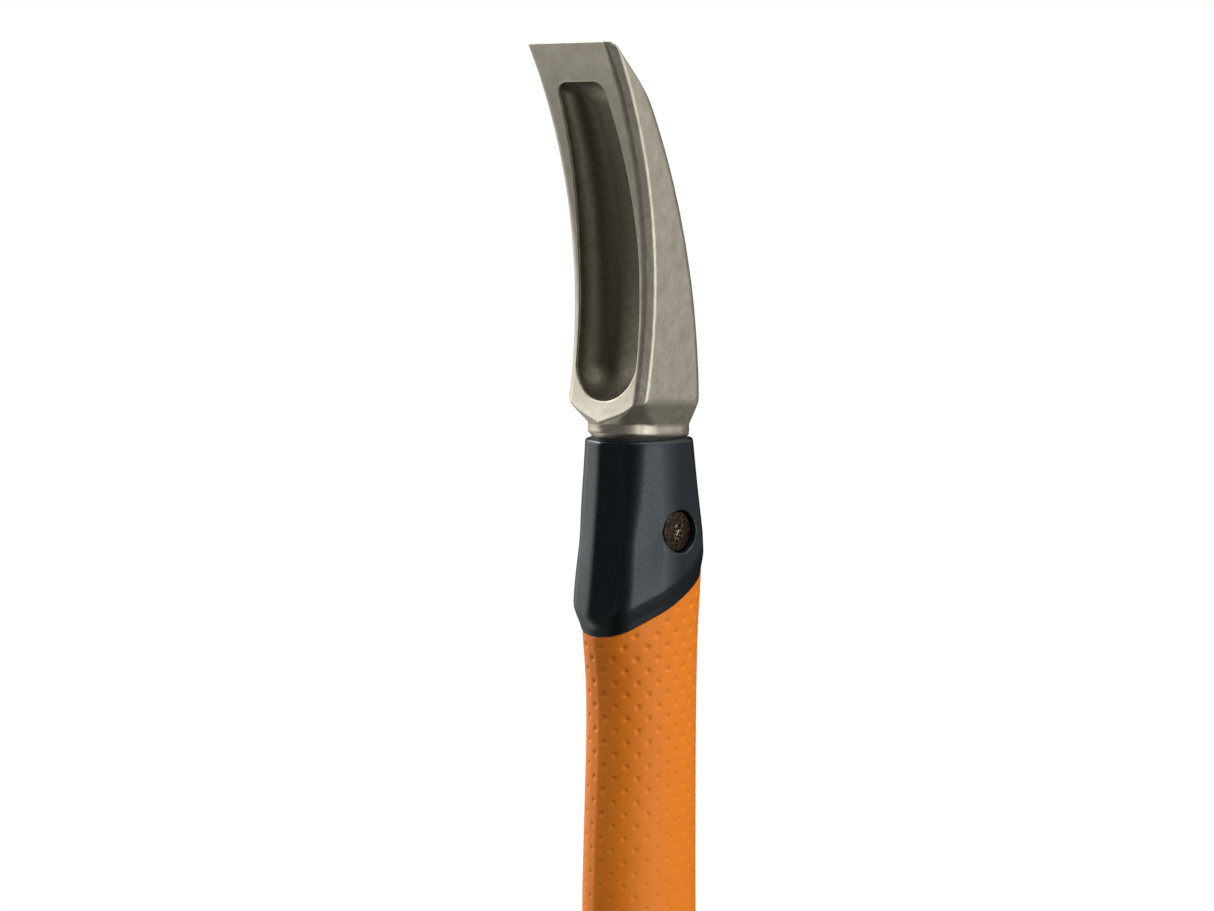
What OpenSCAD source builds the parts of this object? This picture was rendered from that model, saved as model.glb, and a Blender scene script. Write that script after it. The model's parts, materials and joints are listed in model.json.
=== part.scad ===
// Hand tool with a curved, hollow-faced chisel head fixed in line with a shock-absorbing handle.
// +Z runs up the handle to the blade, -Y is the side that the blade's hollow face looks to.
// The origin is the middle of the flat butt face. Millimetres.

/* [Overall] */
// Length from the butt face to the blade's edge
total_length = 610; // [560:5:660]

/* [Blade] */
// Height of the blade's edge above the collar
blade_height = 129.4; // [127:0.2:132]
// Height of the sharp lower edge of the blade's side faces above the collar
blade_base = 12.7; // [11:0.1:14]
// Width of the blade across its side faces at its lower edge
blade_base_width = 34.2; // [32:0.1:36]
// Width of the blade at its edge
blade_tip_width = 38.7; // [36:0.1:42]
// Radius of the hollow front face, seen from the side
front_radius = 168.5; // [160:0.5:180]
// Radius of the rear edge of the side faces
side_rear_radius = 220.8; // [210:0.2:230]
// Size of the 45 degree chamfer along each front edge
front_chamfer = 2.75; // [1.5:0.05:3.5]
// Size of the 45 degree chamfer along each rear edge
rear_chamfer = 9.6; // [6:0.1:10]
// Thickness left at the blunt edge
edge_thickness = 2.4; // [1.6:0.1:3]
// Radius of the two corners of the edge
edge_corner_radius = 3.2; // [2:0.1:5]

/* [Pocket] */
// Top of the pocket above the collar
pocket_top = 117; // [112:0.5:119]
// Bottom of the pocket above the collar
pocket_bottom = 13.2; // [12:0.2:16]
// Width of the pocket at its rounded lower end
pocket_width = 26; // [22:0.5:27]
// Width of the pocket at its top
pocket_top_width = 18.6; // [16:0.2:20]
// Radius of the pocket floor, seen from the side
pocket_floor_radius = 150; // [148:0.5:151]

/* [Handle core] */
// Size of the core tube from front to back
core_depth = 31.6; // [30:0.2:32]
// Size of the core tube from side to side
core_width = 20.6; // [20:0.2:21]
// Wall thickness of the core tube
core_wall = 2.8; // [2.4:0.1:3]
// Thickness of the damping layer round the core tube
shock_layer = 1.2; // [0.8:0.1:1.3]
// Thickness of the rubber sleeve round the tang
tang_sleeve_wall = 1.8; // [1.5:0.1:2]
// Length of the tang below the collar's top
tang_length = 100; // [90:1:120]

/* [Collar] */
// Height of the through bolt below the collar's top
bolt_drop = 30.3; // [29:0.1:32]
// Slope of the collar's lower border, as drop per millimetre towards the front
border_slope = 0.49; // [0.4:0.01:0.52]
// Depth of the collar's lower border below its top, on the handle axis
border_drop = 53.9; // [52:0.1:57]
// Height of the collar's widest line above its lower border
belt_height = 10.5; // [9:0.1:12]
// Thickness of the collar's top wall
collar_roof = 6; // [4:0.5:8]

/* [Fasteners] */
// Diameter of the bolt and nut heads
bolt_head_diameter = 13.4; // [12.4:0.1:13.6]
// Diameter of the counterbores in the collar
counterbore_diameter = 14; // [13.8:0.1:15]
// Height of the bolt and nut heads
bolt_head_height = 4.2; // [3.5:0.1:4.4]
// Outer diameter of the barrel nut
barrel_diameter = 10; // [9:0.5:11]
// Thread diameter of the bolt
bolt_diameter = 6; // [5:0.5:6.5]
// Thickness of each washer
washer_thickness = 1.2; // [0.8:0.1:1.3]
// Width across the points of the six-lobed drive
drive_size = 5.8; // [5:0.1:7]
// Depth of the drive recess
drive_depth = 2.4; // [1.5:0.1:2.6]
// Diameter of the pin through the tang
tang_pin_diameter = 6; // [5:0.5:7]
// Height of the tang pin below the collar's top
tang_pin_drop = 80; // [76:1:85]

/* [Butt] */
// Height of the cap's upper border on the handle axis
cap_height = 46; // [44:1:56]
// Height of the hanging hole
hang_hole_height = 24; // [22:0.5:26]
// Diameter of the hanging hole
hang_hole_diameter = 8; // [6:0.5:8]
// Wall thickness of the eyelet in the hanging hole
eyelet_wall = 1.5; // [1:0.1:1.5]
// Diameter of the eyelet's flanges
eyelet_flange_diameter = 17; // [15:0.5:18]
// Thickness of the eyelet's flanges
eyelet_flange = 1; // [0.8:0.1:1.4]
// Thickness of the cap's floor
cap_floor = 5; // [4:0.5:8]

/* [Hidden] */
$fn = 64;

over = 1; // how far cutters run past the faces they cut
reach = 60; // more than any half width of the tool
collar_z = total_length - blade_height;
bolt_z = collar_z - bolt_drop;
tang_pin_z = collar_z - tang_pin_drop;
tang_end_z = collar_z - tang_length;
tip_z = blade_height;

// Places on the blade, as [y, z] from the middle of the collar's top
front_base_y = -15.4;
front_centre = [front_base_y - front_radius, 48.2];
side_rear_centre = [10.4 - side_rear_radius, 4.6];
spine_base_y = 20;
spine_tip_y = -19.5;
bevel_spine_z = 95;
bevel_side_z = 115.3;
spine_tip_z = 121;
taper = atan((blade_tip_width - blade_base_width) / 2 / (tip_z - blade_base));
neck_waist = 5.5;
neck_lip = 2;
neck_foot = 0.8;

// The core's oval outline is two round ends joined by flats
tube_inner_depth = core_depth - 2 * core_wall;
tube_inner_width = core_width - 2 * core_wall;
tang_depth = tube_inner_depth - 2 * tang_sleeve_wall;
tang_width = tube_inner_width - 2 * tang_sleeve_wall;
skin_depth = core_depth + 2 * shock_layer;
skin_width = core_width + 2 * shock_layer;
tang_gap = 0.3; // clearance round the tang in the collar's roof
core_top_z = collar_z - collar_roof;
plug_top_z = cap_height + 8;
foam_top_z = tang_end_z - 1;

// Flat faces, as [degrees from the front, distance from the axis], from the front ridge to the rear one
neck_facets = [[24.7, 18.9], [60, 16], [90, 13.5], [131, 16.5], [160, 16.6]];
neck_base_facets = [[24.7, 26.5], [60, 23.4], [90, 17.2], [131, 19.5], [160, 22.2]];
// The collar's faces, as [degrees, distance at the top, distance at the belt, how late they flare]
collar_facets = [
    [20, 19.4, 24.4, 1], [60, 17.7, 20.4, 3.6], [90, 17.2, 19.1, 1.5], [131.5, 17.6, 20.9, 1], [156, 17, 21.6, 1]
];
corner_cut = 0.14; // share of each side taken off to soften a corner
seal_inset = 0.94; // size of the seal against the neck

collar_proud = 0.7; // how far the collar and cap stand out from the grip
grip_sides = 36;
// The handle's oval: [height above the butt, half depth in front, half depth behind, half width]
handle_sections = [
    [0, 25, 25, 17.9], [14, 25.7, 25.7, 18.4], [30, 25, 25, 17.9], [48, 23.8, 23.8, 17.1],
    [70, 22.4, 22.4, 16.1], [95, 21.5, 21.5, 15.6], [130, 21.6, 21.7, 15.7], [170, 22.2, 22.5, 16],
    [220, 22.8, 23, 16.3], [265, 23.1, 23.1, 16.4], [305, 23, 22.6, 16.2], [327, 22.7, 22.3, 16.1],
    [344, 22, 22.3, 16], [361, 21.1, 22.3, 16], [377, 20.2, 22.3, 16], [394, 20, 22.6, 16],
    [402, 20.6, 22.8, 16], [408, 21.4, 23, 16], [414, 22.3, 23.2, 16.1], [421, 22.9, 23.8, 16.3],
    [433, 24, 24.8, 16.7], [500, 25, 26, 17]
];
cap_slope = 0.25;

// ---------- Functions ----------

// Points on an arc about a centre, from one angle to another
function arc(centre, radius, from, to, steps) = [
    for (i = [0 : steps])
        let (a = from + (to - from) * i / steps)
            centre + radius * [cos(a), sin(a)]
];

// Centre of the circle through three points
function circle_centre(a, b, c) =
    let (
        d = 2 * (a.x * (b.y - c.y) + b.x * (c.y - a.y) + c.x * (a.y - b.y)),
        aa = a * a,
        bb = b * b,
        cc = c * c
    )
    [
        (aa * (b.y - c.y) + bb * (c.y - a.y) + cc * (a.y - b.y)) / d,
        (aa * (c.x - b.x) + bb * (a.x - c.x) + cc * (b.x - a.x)) / d
    ];

// Where a lateral cylinder's rear side stands at a height
function rear_y(centre, radius, z) = centre.x + sqrt(radius * radius - (z - centre.y) * (z - centre.y));

// A half section's corners as the whole outline, [x, y] with the front at -y
function whole(corners) =
    let (n = len(corners))
    concat(
        [for (c = corners) [c.x, -c.y]],
        [for (i = [n - 2 : -1 : 1]) [-corners[i].x, -corners[i].y]]
    );

// An outline with each corner replaced by a short flat
function softened(outline, share) =
    let (n = len(outline))
    [
        for (i = [0 : n - 1])
            let (p = outline[i], q = outline[(i + 1) % n])
                each [p + share * (q - p), q - share * (q - p)]
    ];

// An outline lifted to a height that may slope towards the front
function ring(outline, z, slope = 0) = [for (p = outline) [p.x, p.y, z + slope * p.y]];

// The corner [x, forward] where two flat faces meet
function meet(f, g) =
    let (turn = sin(g[0] - f[0]))
    [(g[1] * cos(f[0]) - f[1] * cos(g[0])) / turn, (f[1] * sin(g[0]) - g[1] * sin(f[0])) / turn];
// A half section's corners from its flat faces, from the front ridge round to the rear ridge
function corners(facets) =
    let (n = len(facets), first = facets[0], last = facets[n - 1])
    concat(
        [[0, first[1] / cos(first[0])]],
        [for (i = [1 : n - 1]) meet(facets[i - 1], facets[i])],
        [[0, last[1] / cos(last[0])]]
    );
function outline_of(facets) = softened(whole(corners(facets)), corner_cut);
// The handle's oval at a height above the butt: one value of its section, and its outline
function handle_size(z, k) = lookup(z, [for (s = handle_sections) [s[0], s[k]]]);
function oval(z, proud = 0) =
    let (
        front = handle_size(z, 1) + proud,
        back = handle_size(z, 2) + proud,
        half = handle_size(z, 3) + proud
    )
    [
        for (i = [0 : grip_sides - 1])
            let (a = 360 * i / grip_sides)
                [half * sin(a), -(cos(a) > 0 ? front : back) * cos(a)]
    ];

// ---------- Shared shapes ----------

// Closed solid through a stack of rings, lowest first
module loft(rings) {
    sides = len(rings[0]);
    last = len(rings) - 1;
    points = [for (r = rings) each r];
    walls = [
        for (k = [0 : last - 1], i = [0 : sides - 1])
            let (
                j = (i + 1) % sides,
                a = k * sides + i,
                b = k * sides + j,
                c = (k + 1) * sides + j,
                d = (k + 1) * sides + i
            )
            each [[a, c, b], [a, d, c]]
    ];
    floor_face = [for (i = [0 : sides - 1]) i];
    roof_face = [for (i = [sides - 1 : -1 : 0]) last * sides + i];
    polyhedron(points, concat([floor_face], walls, [roof_face]), convexity = 4);
}

// Cylinder along X through [y, z]
module cross_cylinder(d, x0, x1, y, z) {
    translate([x0, y, z])
        rotate([0, 90, 0])
            cylinder(d = d, h = x1 - x0, $fn = d > reach ? 360 : $fn);
}

// Upright prism with round front and rear ends
module stadium(depth, width, z0, z1) {
    translate([0, 0, z0])
        linear_extrude(z1 - z0)
            union() {
                square([width, depth - width], center = true);
                for (side = [-1, 1])
                    translate([0, side * (depth - width) / 2])
                        circle(d = width);
            }
}

// Upright tube between two stadium outlines
module stadium_tube(depth, width, wall, z0, z1) {
    difference() {
        stadium(depth, width, z0, z1);
        stadium(depth - 2 * wall, width - 2 * wall, z0 - over, z1 + over);
    }
}

// Everything under a plane that crosses the axis at a height and slopes towards the front
module below_border(z, slope) {
    translate([0, 0, z])
        rotate([atan(slope), 0, 0])
            translate([-reach, -2 * reach, -4 * total_length])
                cube([2 * reach, 4 * reach, 4 * total_length]);
}

// Domed head with a six-lobed drive, outer side towards +X, seated at x
module button_head(x) {
    dome = 0.4;
    translate([x, 0, bolt_z])
        rotate([0, 90, 0])
            difference() {
                intersection() {
                    cylinder(d = bolt_head_diameter, h = bolt_head_height);
                    translate([0, 0, bolt_head_height - dome_radius(dome)])
                        sphere(r = dome_radius(dome));
                }
                translate([0, 0, bolt_head_height - drive_depth])
                    six_lobe(drive_depth + over);
            }
}

// Radius of the sphere whose cap is the head's dome
function dome_radius(dome) =
    (bolt_head_diameter * bolt_head_diameter / 4 + dome * dome) / (2 * dome);

module six_lobe(h) {
    lobe = drive_size * 0.14;
    for (i = [0 : 2])
        rotate([0, 0, 60 * i])
            translate([-drive_size / 2 + lobe, -lobe, 0])
                cube([drive_size - 2 * lobe, 2 * lobe, h]);
    for (i = [0 : 5])
        rotate([0, 0, 60 * i])
            translate([drive_size / 2 - lobe, 0, 0])
                cylinder(r = lobe, h = h);
    cylinder(d = drive_size * 0.72, h = h);
}

// ---------- Blade ----------

// Cylinder along X that bounds the blade in side view
module lateral(centre, radius) {
    cross_cylinder(2 * radius, -reach, reach, centre.x, centre.y);
}

// Blade width in front view, with rounded corners at the edge
module blade_outline() {
    base = blade_base_width / 2 - tan(taper) * blade_base;
    tip = blade_tip_width / 2;
    r = edge_corner_radius;
    right = concat([[base, 0]], arc([tip - r, tip_z - r], r, 0, 90, 8));
    left = [for (i = [len(right) - 1 : -1 : 0]) [-right[i].x, right[i].y]];
    translate([0, reach, 0])
        rotate([90, 0, 0])
            linear_extrude(2 * reach)
                polygon(concat(right, left));
}

// Ring that cuts a 45 degree chamfer along the blade's right-hand edge: from radius r at
// depth inset inside the side face, outwards by size, on the near or the far side
module chamfer_ring(centre, profile) {
    mid_z = 60;
    half = blade_base_width / 2 + tan(taper) * (mid_z - blade_base);
    translate([half, 0, mid_z])
        rotate([0, taper, 0])
            translate([0, centre.x, centre.y - mid_z])
                rotate([0, 90, 0])
                    rotate_extrude($fn = 180)
                        polygon(profile);
}

module front_chamfer_cutter() {
    r = front_radius;
    c = front_chamfer;
    chamfer_ring(front_centre, [[r - over, -c - over], [r + c + over, over], [r - over, over]]);
}

module rear_chamfer_cutter() {
    r = side_rear_radius;
    c = 1.4 * rear_chamfer;
    chamfer_ring(side_rear_centre, [[r - over, over], [r + c, -c], [r + c, over]]);
}

// The back of the blade bends forward from the spine and bevels to the edge
module back_of_blade() {
    spine_tangent_z = side_rear_centre.y;
    rise = spine_tip_z - spine_tangent_z;
    lean = spine_base_y - spine_tip_y;
    spine_radius = (lean * lean + rise * rise) / (2 * lean);
    spine_centre = [spine_base_y - spine_radius, spine_tangent_z];
    edge_y = rear_y(front_centre, front_radius, tip_z) + edge_thickness;
    a = [rear_y(spine_centre, spine_radius, bevel_spine_z), bevel_spine_z];
    b = [rear_y(side_rear_centre, side_rear_radius, bevel_side_z), bevel_side_z];
    c = [edge_y, tip_z];
    bevel_centre = circle_centre(a, b, c);
    bevel_radius = norm(a - bevel_centre);
    intersection() {
        lateral(spine_centre, spine_radius);
        union() {
            translate([-reach, -2 * reach, -reach])
                cube([2 * reach, 4 * reach, reach + bevel_spine_z]);
            lateral(bevel_centre, bevel_radius);
        }
    }
}

// Pocket outline in front view, cut down to the curved floor
module pocket() {
    r_low = pocket_width / 2;
    r_top = 3.5;
    low_z = pocket_bottom + r_low;
    straight_z = 52;
    top = pocket_top_width / 2;
    lower = arc([0, low_z], r_low, 180, 360, 24);
    right = [[r_low, straight_z], [r_low - 0.4, 72], [r_low - 1.5, 91]];
    crown = concat(
        arc([top - r_top, pocket_top - r_top], r_top, 0, 90, 6),
        arc([r_top - top, pocket_top - r_top], r_top, 90, 180, 6)
    );
    left = [for (i = [len(right) - 1 : -1 : 0]) [-right[i].x, right[i].y]];
    floor_centre = [-154.5, 45];
    intersection() {
        translate([0, reach, 0])
            rotate([90, 0, 0])
                linear_extrude(2 * reach)
                    polygon(concat(lower, right, crown, left));
        lateral(floor_centre, pocket_floor_radius);
    }
}

// Blade from a height up with square edges, in collar coordinates
module blade_blank(z0) {
    difference() {
        intersection() {
            blade_outline();
            back_of_blade();
            translate([-reach, -reach, z0])
                cube([2 * reach, 2 * reach, 3 * reach]);
        }
        lateral(front_centre, front_radius);
    }
}

// Solid blade from a height up, its rear edges chamfered first and then its front edges
module blade_from(z0) {
    difference() {
        difference() {
            blade_blank(z0);
            for (side = [0, 1])
                mirror([side, 0, 0])
                    rear_chamfer_cutter();
        }
        for (side = [0, 1])
            mirror([side, 0, 0])
                front_chamfer_cutter();
    }
}

// The blade's underside draws in to the neck, and a small lip sits on the seal
module neck() {
    waist = outline_of(neck_facets);
    intersection() {
        blade_from(neck_waist);
        loft([
            ring(waist, neck_waist),
            ring(outline_of(neck_base_facets), blade_base),
        ]);
    }
    loft([
        ring(0.97 * waist, neck_foot),
        ring(1.02 * waist, neck_lip),
        ring(waist, neck_waist),
    ]);
}

module blade_head() {
    color("#a39a86")
        difference() {
            union() {
                translate([0, 0, collar_z]) {
                    difference() {
                        blade_from(blade_base);
                        pocket();
                    }
                    neck();
                }
                stadium(tang_depth, tang_width, tang_end_z, collar_z + neck_lip);
            }
            cross_cylinder(barrel_diameter, -reach, reach, 0, bolt_z);
            cross_cylinder(tang_pin_diameter, -reach, reach, 0, tang_pin_z);
        }
}

// Thin gasket in the gap between the neck and the collar
module neck_seal() {
    outline = seal_inset * outline_of(neck_facets);
    color("#141414")
        difference() {
            translate([0, 0, collar_z])
                linear_extrude(neck_foot)
                    polygon(outline);
            stadium(tang_depth, tang_width, collar_z - over, collar_z + neck_foot + over);
        }
}

// ---------- Collar and its bolt ----------

// The collar's outline at a share of the way down from its top to its belt
function collar_outline(share) =
    outline_of([for (f = collar_facets) [f[0], f[1] + (f[2] - f[1]) * pow(share, f[3])]]);

module collar() {
    hem = softened(whole(hem_corners()), corner_cut);
    edge = 0.9;
    belt_drop = border_drop - belt_height;
    color("#23282c")
        difference() {
            translate([0, 0, collar_z])
                loft([
                    ring(hem, -border_drop, border_slope),
                    for (share = [1, 0.8, 0.55, 0.3])
                        ring(collar_outline(share), -belt_drop * share, border_slope * share),
                    ring(collar_outline(0), -edge),
                    ring(0.96 * collar_outline(0), 0),
                ]);
            stadium(skin_depth, skin_width, collar_z - 2 * border_drop, core_top_z);
            stadium(tang_depth + 2 * tang_gap, tang_width + 2 * tang_gap, core_top_z - over, collar_z + over);
            cross_cylinder(counterbore_diameter, -reach, reach, 0, bolt_z);
        }
}

// The collar's lower border follows the grip, a little proud of it
function hem_corners() =
    let (
        z = collar_z - border_drop,
        w = handle_size(z, 3) + collar_proud,
        front = handle_size(z, 1) + collar_proud,
        back = handle_size(z, 2) + collar_proud
    )
    [for (a = [0, 35, 75, 105, 145, 180]) [w * sin(a), (a < 90 ? front : back) * cos(a)]];

module head_bolt() {
    seat = core_width / 2 + washer_thickness;
    bolt_end = 1.5 - core_width / 2;
    color("#2a211b") {
        button_head(seat);
        cross_cylinder(bolt_diameter, bolt_end, seat, 0, bolt_z);
    }
}

module barrel_nut() {
    seat = core_width / 2 + washer_thickness;
    color("#2a211b")
        difference() {
            union() {
                mirror([1, 0, 0])
                    button_head(seat);
                cross_cylinder(barrel_diameter, -seat, core_width / 2, 0, bolt_z);
            }
            cross_cylinder(bolt_diameter, 1 - core_width / 2, reach, 0, bolt_z);
        }
}

module bolt_washers() {
    color("#6b6b68")
        difference() {
            for (x = [-core_width / 2 - washer_thickness, core_width / 2])
                cross_cylinder(bolt_head_diameter, x, x + washer_thickness, 0, bolt_z);
            cross_cylinder(barrel_diameter, -reach, 0, 0, bolt_z);
            cross_cylinder(bolt_diameter, 0, reach, 0, bolt_z);
        }
}

// ---------- Handle core ----------

module tang_sleeve() {
    color("#1d1d1d")
        difference() {
            stadium_tube(tube_inner_depth, tube_inner_width, tang_sleeve_wall, tang_end_z, core_top_z);
            cross_cylinder(barrel_diameter, -reach, reach, 0, bolt_z);
            cross_cylinder(tang_pin_diameter, -reach, reach, 0, tang_pin_z);
        }
}

module tang_pin() {
    color("#8c8c8c")
        cross_cylinder(tang_pin_diameter, -core_width / 2, core_width / 2, 0, tang_pin_z);
}

module core_tube() {
    color("#3a3a38")
        difference() {
            stadium_tube(core_depth, core_width, core_wall, cap_floor, core_top_z);
            cross_cylinder(barrel_diameter, -reach, reach, 0, bolt_z);
            cross_cylinder(tang_pin_diameter, -reach, reach, 0, tang_pin_z);
            cross_cylinder(eyelet_diameter(), -reach, reach, 0, hang_hole_height);
        }
}

module core_foam() {
    color("#d8cfae")
        stadium(tube_inner_depth, tube_inner_width, plug_top_z, foam_top_z);
}

module shock_sleeve() {
    color("#303030")
        difference() {
            stadium_tube(skin_depth, skin_width, shock_layer, cap_floor, core_top_z);
            cross_cylinder(counterbore_diameter, -reach, reach, 0, bolt_z);
            cross_cylinder(eyelet_diameter(), -reach, reach, 0, hang_hole_height);
        }
}

module core_plug() {
    color("#4a4a48")
        difference() {
            stadium(tube_inner_depth, tube_inner_width, cap_floor, plug_top_z);
            cross_cylinder(eyelet_diameter(), -reach, reach, 0, hang_hole_height);
        }
}

// ---------- Grip and butt ----------

module grip_sleeve() {
    steps = 26;
    low = cap_height - cap_slope * reach;
    high = collar_z - border_drop;
    levels = concat(
        [ring(oval(cap_height), cap_height, cap_slope)],
        [
            for (i = [1 : steps - 1])
                let (z = cap_height + (high - cap_height) * i / steps, s = slope_at(i / steps))
                    ring(oval(z), z, s)
        ],
        [ring(oval(high), high, border_slope)]
    );
    color("#ec8420")
        difference() {
            loft(levels);
            stadium(skin_depth, skin_width, low, collar_z);
        }
}

// The grip's rings turn from the cap's slope to the collar's slope along its length
function slope_at(t) = t < 0.5 ? cap_slope * pow(1 - 2 * t, 3) : border_slope * pow(2 * t - 1, 3);

module butt_cap() {
    rounding = 3;
    top = cap_height;
    color("#1e2124")
        difference() {
            intersection() {
                loft([
                    ring(0.86 * oval(0, collar_proud), 0),
                    ring(0.95 * oval(rounding / 3, collar_proud), rounding / 3),
                    ring(oval(rounding, collar_proud), rounding),
                    ring(oval(hang_hole_height / 2, collar_proud), hang_hole_height / 2),
                    ring(oval(hang_hole_height, collar_proud), hang_hole_height, cap_slope / 3),
                    ring(oval(top, collar_proud), top, cap_slope),
                ]);
                translate([-cap_half_width(), -reach, 0])
                    cube([2 * cap_half_width(), 2 * reach, 2 * top]);
            }
            stadium(skin_depth, skin_width, cap_floor, 2 * top);
            cross_cylinder(eyelet_diameter(), -reach, reach, 0, hang_hole_height);
        }
}

// Half the distance between the flats that the eyelet's flanges sit on
function cap_half_width() = handle_size(hang_hole_height, 3) + collar_proud - 1.4;
function eyelet_diameter() = hang_hole_diameter + 2 * eyelet_wall;

module hang_eyelet() {
    half = cap_half_width();
    color("#77777a")
        difference() {
            union() {
                cross_cylinder(eyelet_diameter(), -half, half + eyelet_flange, 0, hang_hole_height);
                cross_cylinder(eyelet_flange_diameter, half, half + eyelet_flange, 0, hang_hole_height);
            }
            cross_cylinder(hang_hole_diameter, -reach, reach, 0, hang_hole_height);
        }
}

module eyelet_washer() {
    half = cap_half_width();
    color("#77777a")
        difference() {
            cross_cylinder(eyelet_flange_diameter, -half - eyelet_flange, -half, 0, hang_hole_height);
            cross_cylinder(hang_hole_diameter, -reach, reach, 0, hang_hole_height);
        }
}

blade_head();
neck_seal();
collar();
head_bolt();
barrel_nut();
bolt_washers();
tang_sleeve();
tang_pin();
core_tube();
core_foam();
shock_sleeve();
grip_sleeve();
core_plug();
butt_cap();
hang_eyelet();
eyelet_washer();
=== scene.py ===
"""Looks for the hand tool with a curved chisel head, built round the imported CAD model.

Shapes are worked out in millimetres, then put in the frame's metres. Below, x is across the tool,
fwd is the distance in front of the handle's axis (the frame's -Y), and z is the height above the
collar's top, or above the butt where a name says so.
"""
import json
import math

import bpy
import numpy as np
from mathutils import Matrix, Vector


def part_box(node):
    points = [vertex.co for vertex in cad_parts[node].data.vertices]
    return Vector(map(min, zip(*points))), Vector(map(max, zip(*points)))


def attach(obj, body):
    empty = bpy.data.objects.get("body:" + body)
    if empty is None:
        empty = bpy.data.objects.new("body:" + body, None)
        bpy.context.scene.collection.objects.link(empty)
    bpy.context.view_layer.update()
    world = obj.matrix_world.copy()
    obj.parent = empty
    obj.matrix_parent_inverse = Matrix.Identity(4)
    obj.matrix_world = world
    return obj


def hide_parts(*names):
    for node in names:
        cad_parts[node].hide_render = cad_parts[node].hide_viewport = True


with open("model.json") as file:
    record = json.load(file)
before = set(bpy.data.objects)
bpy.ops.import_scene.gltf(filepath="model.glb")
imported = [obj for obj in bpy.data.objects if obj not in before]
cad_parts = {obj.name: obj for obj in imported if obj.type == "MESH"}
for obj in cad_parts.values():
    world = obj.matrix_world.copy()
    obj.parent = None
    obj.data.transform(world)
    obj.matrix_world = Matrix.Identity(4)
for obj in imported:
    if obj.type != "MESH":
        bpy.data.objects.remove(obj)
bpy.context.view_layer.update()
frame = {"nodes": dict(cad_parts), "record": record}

MM = 0.001
BODY = "root"


# ---------- What the frame says ----------

def node_box(node):
    """A CAD node's corners in millimetres."""
    low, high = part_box(node)
    return np.array(low) / MM, np.array(high) / MM


HEAD_LOW, HEAD_HIGH = node_box("blade_head")
TUBE_HIGH = node_box("core_tube")[1]
SKIN_LOW, SKIN_HIGH = node_box("shock_sleeve")
BOLT_LOW, BOLT_HIGH = node_box("head_bolt")
PIN_LOW, PIN_HIGH = node_box("tang_pin")
EYELET_LOW, EYELET_HIGH = node_box("hang_eyelet")
WASHER_LOW, WASHER_HIGH = node_box("eyelet_washer")

COLLAR_Z = node_box("collar")[1][2]
BLADE_TOP = HEAD_HIGH[2] - COLLAR_Z
TANG_LOW = HEAD_LOW[2] - COLLAR_Z
CORE_TOP = TUBE_HIGH[2] - COLLAR_Z
TUBE_HALF = TUBE_HIGH[0]
SKIN_WIDTH, SKIN_DEPTH = (SKIN_HIGH - SKIN_LOW)[:2]
BOLT_Z = BOLT_LOW[2] / 2 + BOLT_HIGH[2] / 2 - COLLAR_Z
BOLT_HEAD = BOLT_HIGH[2] - BOLT_LOW[2]
BOLT_END, BOLT_TOP = BOLT_LOW[0], BOLT_HIGH[0]
PIN_Z = PIN_LOW[2] / 2 + PIN_HIGH[2] / 2 - COLLAR_Z
PIN_D = PIN_HIGH[2] - PIN_LOW[2]
HOLE_Z = (EYELET_LOW[2] + EYELET_HIGH[2]) / 2
CAP_HALF = abs(WASHER_HIGH[0])


# ---------- Fields: negative inside, roughly in millimetres ----------

# Roundings that many machined or moulded edges share
TINY_EDGE, FINE_EDGE, SMALL_EDGE, BROAD_EDGE = 0.2, 0.3, 0.5, 0.8


def both(a, b, r):
    """Where two fields meet, with an outer edge rounded to about r."""
    u = np.maximum(a + r, 0)
    v = np.maximum(b + r, 0)
    return np.minimum(np.maximum(a, b), -r) + np.sqrt(u * u + v * v)


def corner(a, b, r, turn):
    """Where two upright faces meet, rounded to r, when turn degrees lie between their normals."""
    cut = r * (1 / math.cos(math.radians(turn) / 2) - 1)
    return both(a, b, cut / (1 - math.sqrt(0.5)))


def either(a, b, r):
    """Two fields joined, with an inner edge filled to about r."""
    return -both(-a, -b, r)


def without(a, b, r):
    """The first field with the second cut away."""
    return both(a, -b, r)


def facet(x, fwd, azimuth, offset):
    """Flat face whose normal stands azimuth degrees from the front."""
    a = math.radians(azimuth)
    return np.abs(x) * math.sin(a) + fwd * math.cos(a) - offset


def stadium(x, fwd, depth, width):
    """Oval with round front and rear ends."""
    return np.hypot(x, np.maximum(np.abs(fwd) - (depth - width) / 2, 0)) - width / 2


def cross_hole(fwd, z, at_z, diameter):
    """Round hole from side to side."""
    return np.hypot(fwd, z - at_z) - diameter / 2


def waves(x, fwd, z, length):
    """Slow waviness from -1 to 1, as a forging or a moulding has."""
    k = 2 * math.pi / length
    a = np.sin(k * (x + 0.37 * z) + 1.3 * np.sin(k * 0.61 * fwd + 0.7))
    b = np.sin(k * (0.83 * fwd - 0.29 * x) + 1.1 * np.sin(k * 0.47 * z + 2.1))
    c = np.sin(k * (0.71 * z + 0.53 * fwd) + 0.9 * np.sin(k * 0.57 * x + 4.0))
    return (a + b + c) / 3


def smooth_step(low, high, t):
    u = np.clip((t - low) / (high - low), 0, 1)
    return u * u * (3 - 2 * u)


# ---------- Blade ----------

# Arcs in the side view, each a radius and a centre (fwd, z)
FRONT_R, FRONT_AT = 168.5, (183.9, 48.2)
SIDE_REAR_R, SIDE_REAR_AT = 220.8, (210.4, 4.6)
SPINE_R, SPINE_AT = 191.25, (171.25, 4.6)
BEVEL_R, BEVEL_AT, BEVEL_LOW = 114.85, (100.8, 34.2), 94.0
FLOOR_R, FLOOR_AT = 150.0, (154.5, 45.0)
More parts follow.
